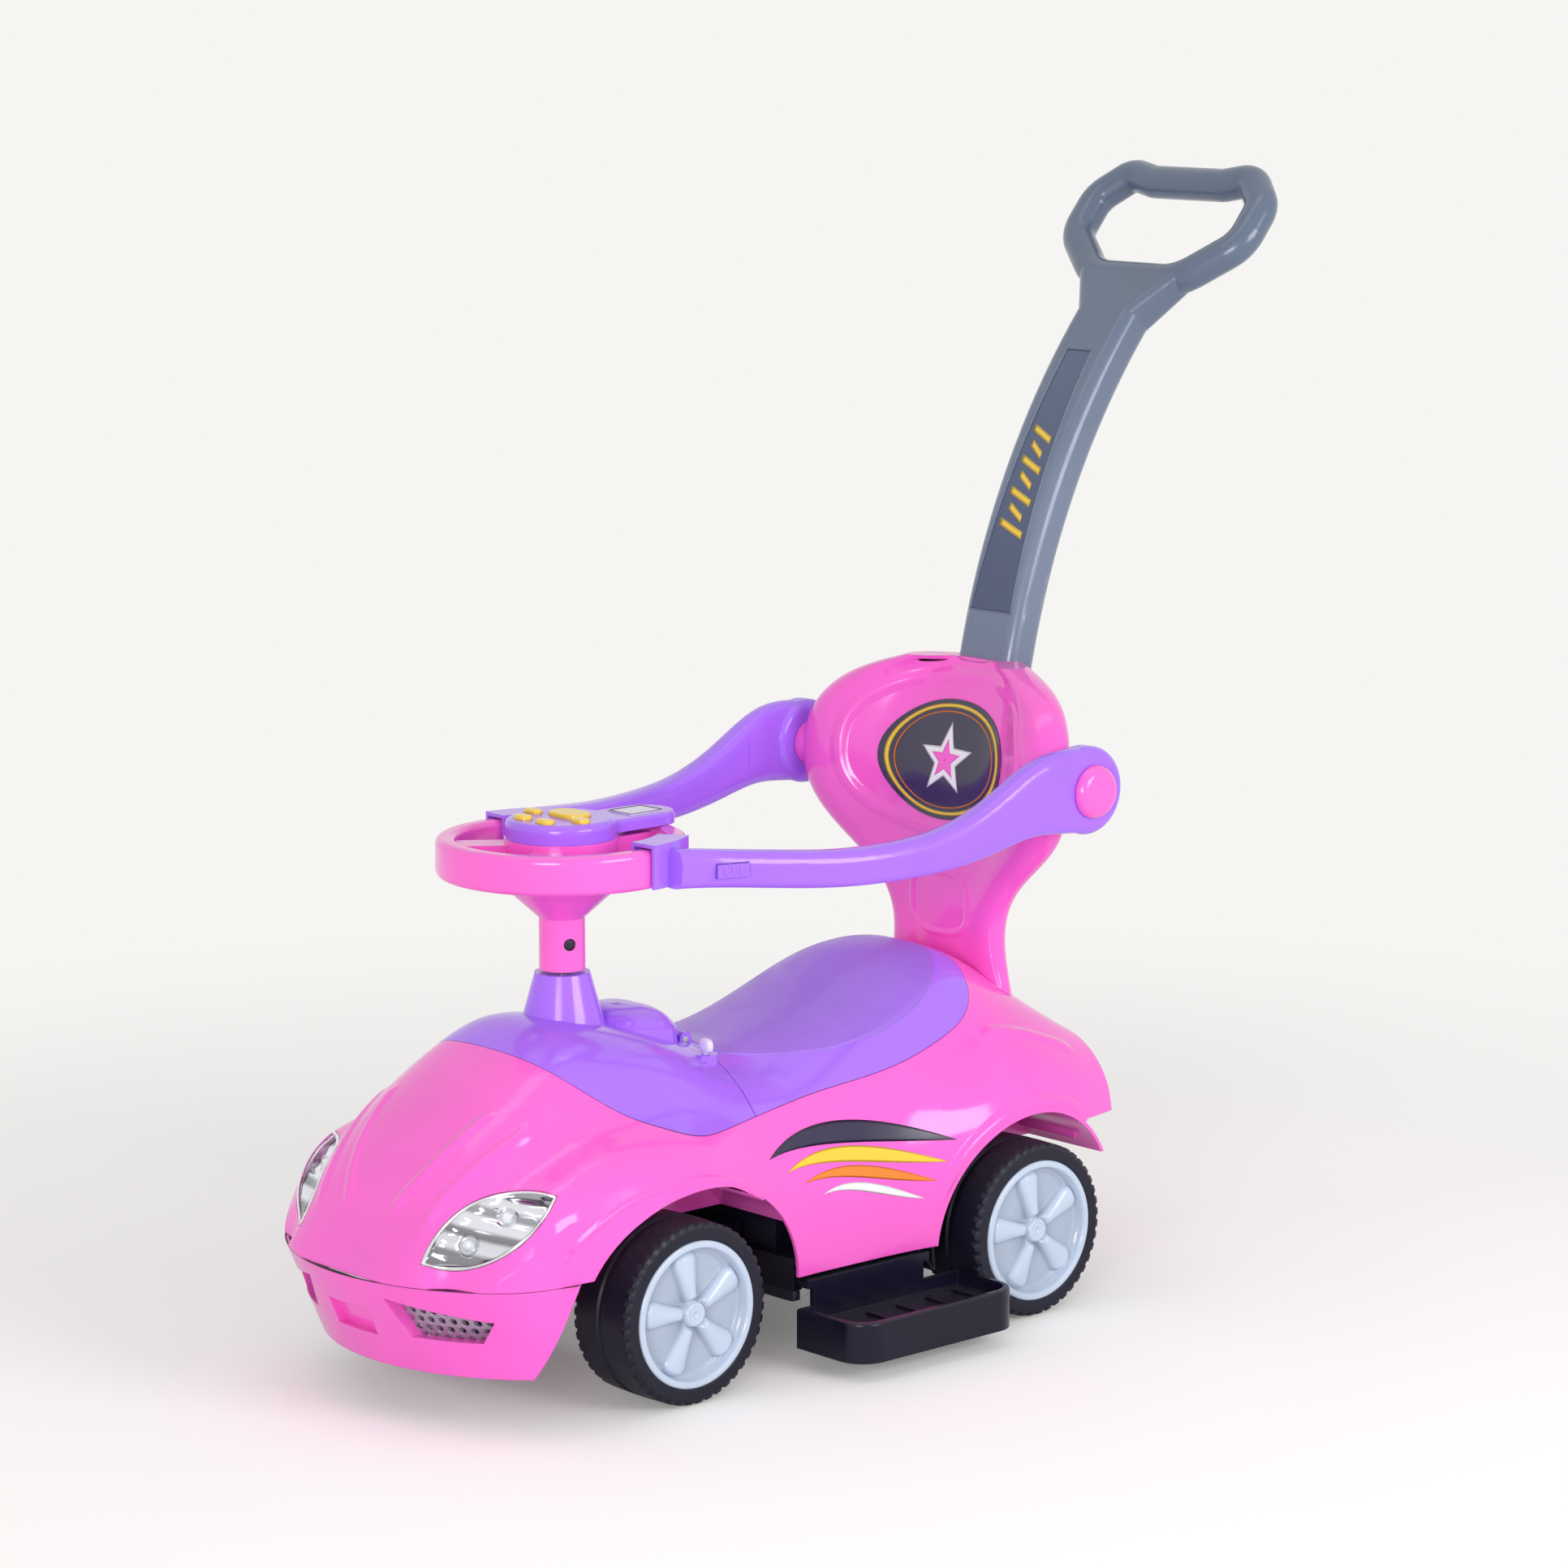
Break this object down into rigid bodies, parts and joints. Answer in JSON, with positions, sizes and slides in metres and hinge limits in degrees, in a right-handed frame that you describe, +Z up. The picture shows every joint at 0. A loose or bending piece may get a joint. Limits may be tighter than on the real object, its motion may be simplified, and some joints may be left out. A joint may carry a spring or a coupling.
{
  "type": "push car with handle",
  "caption": "Toddler push car with round steering wheel, guard arms, backrest, fold-in footrests, lift-up seat over a storage tub and a long lift-out push handle.",
  "frame": {"origin": "middle of the bounding box at floor level, under the tyres", "axes": "+Z up, -Y towards the nose, +X towards the driver's left"},
  "size_m": [0.38, 0.8683, 0.8448],
  "materials": {
    "body_pink": "glossy moulded plastic",
    "wheel_pink": "glossy moulded plastic",
    "purple_gloss": "glossy moulded plastic",
    "seat_purple": "satin moulded plastic",
    "handle_grey": "satin moulded plastic",
    "panel_grey": "printed inset panel",
    "hubcap_grey": "glossy moulded plastic",
    "tyre_black": "satin blow-moulded plastic tyre",
    "black_gloss": "glossy moulded plastic",
    "black_matte": "plain moulded plastic",
    "lens_clear": "clear moulded lens",
    "reflector_chrome": "bright metallised plastic",
    "grille_grey": "moulded mesh",
    "button_yellow": "glossy moulded plastic",
    "key_white": "glossy moulded plastic",
    "badge_dark": "printed plate",
    "label_pale": "printed plate",
    "latch_purple": "glossy moulded plastic",
    "board_green": "circuit board",
    "speaker_black": "small loudspeaker",
    "cell_steel": "dry cell",
    "zinc_steel": "zinc-plated steel"
  },
  "bodies": {
    "chassis": {"body_shell": "body_pink", "front_bumper": "body_pink", "grilles": "grille_grey", "headlight_lenses": "lens_clear", "headlight_bowls": "reflector_chrome", "cowl": "purple_gloss", "seat_hinge_pin": "zinc_steel", "chassis_pan": "black_gloss", "storage_tub": "black_matte", "tub_screws": "zinc_steel", "rear_axle": "zinc_steel", "rear_push_nuts": "zinc_steel", "backrest_front": "body_pink", "backrest_rear": "body_pink", "backrest_badge": "badge_dark", "column_bush": "black_matte", "pivot_pin_left": "wheel_pink", "pivot_pin_right": "wheel_pink"},
    "steering": {"steering_wheel": "wheel_pink", "steering_shaft": "zinc_steel", "column_screw": "zinc_steel", "horn_housing": "purple_gloss", "horn_label": "label_pale", "horn_board": "board_green", "horn_speaker": "speaker_black", "horn_cells": "cell_steel"},
    "tie_rod": {"tie_rod": "black_matte"},
    "seat": {"seat": "seat_purple"},
    "handle": {"push_handle": "handle_grey", "handle_panel": "panel_grey"},
    "key": {"ignition_key": "key_white"},
    "knuckle_left": {"knuckle_left": "black_matte", "kingpin_left": "zinc_steel", "stub_axle_left": "zinc_steel", "front_push_nut_left": "zinc_steel"},
    "knuckle_right": {"knuckle_right": "black_matte", "kingpin_right": "zinc_steel", "stub_axle_right": "zinc_steel", "front_push_nut_right": "zinc_steel"},
    "wheel_front_left": {"tyre_front_left": "tyre_black", "hubcap_front_left": "hubcap_grey"},
    "wheel_front_right": {"tyre_front_right": "tyre_black", "hubcap_front_right": "hubcap_grey"},
    "wheel_rear_left": {"tyre_rear_left": "tyre_black", "hubcap_rear_left": "hubcap_grey"},
    "wheel_rear_right": {"tyre_rear_right": "tyre_black", "hubcap_rear_right": "hubcap_grey"},
    "arm_left": {"guard_arm_left": "purple_gloss"},
    "latch_left": {"arm_latch_left": "latch_purple"},
    "footrest_left": {"footrest_left": "black_gloss"},
    "arm_right": {"guard_arm_right": "purple_gloss"},
    "latch_right": {"arm_latch_right": "latch_purple"},
    "footrest_right": {"footrest_right": "black_gloss"},
    "horn_button": {"horn_button": "button_yellow"},
    "tune_button_1": {"tune_button_1": "button_yellow"},
    "tune_button_2": {"tune_button_2": "button_yellow"},
    "tune_button_3": {"tune_button_3": "button_yellow"},
    "tune_button_4": {"tune_button_4": "button_yellow"}
  },
  "joints": [
    {"name": "steering_turn", "type": "hinge", "parent": "chassis", "child": "steering", "pos_m": [0, -0.22615, 0.3], "axis": [0, 0, 1], "range_deg": [-22, 22]},
    {"name": "tie_rod_swing", "type": "hinge", "parent": "steering", "child": "tie_rod", "pos_m": [0, -0.19615, 0.06], "axis": [0, 0, 1], "range_deg": [-22, 22]},
    {"name": "knuckle_left_turn", "type": "hinge", "parent": "chassis", "child": "knuckle_left", "pos_m": [0.072, -0.22615, 0.066], "axis": [0, 0, 1], "range_deg": [-22, 22]},
    {"name": "knuckle_right_turn", "type": "hinge", "parent": "chassis", "child": "knuckle_right", "pos_m": [-0.072, -0.22615, 0.066], "axis": [0, 0, 1], "range_deg": [-22, 22]},
    {"name": "wheel_front_left_spin", "type": "hinge", "parent": "knuckle_left", "child": "wheel_front_left", "pos_m": [0.116, -0.22615, 0.066], "axis": [1, 0, 0], "continuous": true},
    {"name": "wheel_front_right_spin", "type": "hinge", "parent": "knuckle_right", "child": "wheel_front_right", "pos_m": [-0.116, -0.22615, 0.066], "axis": [1, 0, 0], "continuous": true},
    {"name": "wheel_rear_left_spin", "type": "hinge", "parent": "chassis", "child": "wheel_rear_left", "pos_m": [0.116, 0.11385, 0.066], "axis": [1, 0, 0], "continuous": true},
    {"name": "wheel_rear_right_spin", "type": "hinge", "parent": "chassis", "child": "wheel_rear_right", "pos_m": [-0.116, 0.11385, 0.066], "axis": [1, 0, 0], "continuous": true},
    {"name": "seat_lid", "type": "hinge", "parent": "chassis", "child": "seat", "pos_m": [0, -0.13265, 0.23004], "axis": [1, 0, 0], "range_deg": [0, 60]},
    {"name": "arm_left_lift", "type": "hinge", "parent": "chassis", "child": "arm_left", "pos_m": [0.1425, 0.14685, 0.398], "axis": [-1, 0, 0], "range_deg": [0, 95]},
    {"name": "latch_left_press", "type": "slide", "parent": "arm_left", "child": "latch_left", "axis": [-0.9397, 0.342, 0], "range_m": [0, 0.002], "stiffness_N_per_m": 300},
    {"name": "footrest_left_slide", "type": "slide", "parent": "chassis", "child": "footrest_left", "axis": [-1, 0, 0], "range_m": [0, 0.058]},
    {"name": "arm_right_lift", "type": "hinge", "parent": "chassis", "child": "arm_right", "pos_m": [-0.1425, 0.14685, 0.398], "axis": [-1, 0, 0], "range_deg": [0, 95]},
    {"name": "latch_right_press", "type": "slide", "parent": "arm_right", "child": "latch_right", "axis": [0.9397, 0.342, 0], "range_m": [0, 0.002], "stiffness_N_per_m": 300},
    {"name": "footrest_right_slide", "type": "slide", "parent": "chassis", "child": "footrest_right", "axis": [1, 0, 0], "range_m": [0, 0.058]},
    {"name": "handle_lift", "type": "slide", "parent": "chassis", "child": "handle", "axis": [0, 0.225, 0.9744], "range_m": [0, 0.08]},
    {"name": "horn_button_press", "type": "slide", "parent": "steering", "child": "horn_button", "axis": [0, 0, -1], "range_m": [0, 0.002], "stiffness_N_per_m": 300},
    {"name": "tune_button_1_press", "type": "slide", "parent": "steering", "child": "tune_button_1", "axis": [0, 0, -1], "range_m": [0, 0.002], "stiffness_N_per_m": 300},
    {"name": "tune_button_2_press", "type": "slide", "parent": "steering", "child": "tune_button_2", "axis": [0, 0, -1], "range_m": [0, 0.002], "stiffness_N_per_m": 300},
    {"name": "tune_button_3_press", "type": "slide", "parent": "steering", "child": "tune_button_3", "axis": [0, 0, -1], "range_m": [0, 0.002], "stiffness_N_per_m": 300},
    {"name": "tune_button_4_press", "type": "slide", "parent": "steering", "child": "tune_button_4", "axis": [0, 0, -1], "range_m": [0, 0.002], "stiffness_N_per_m": 300},
    {"name": "key_turn", "type": "hinge", "parent": "chassis", "child": "key", "pos_m": [0.06, -0.14215, 0.227], "axis": [0, 0, 1], "range_deg": [0, 60]}
  ],
  "couplings": [
    {"joint": "tie_rod_swing", "follows": "steering_turn", "ratio": -1},
    {"joint": "knuckle_left_turn", "follows": "steering_turn", "ratio": 1},
    {"joint": "knuckle_right_turn", "follows": "steering_turn", "ratio": 1}
  ]
}
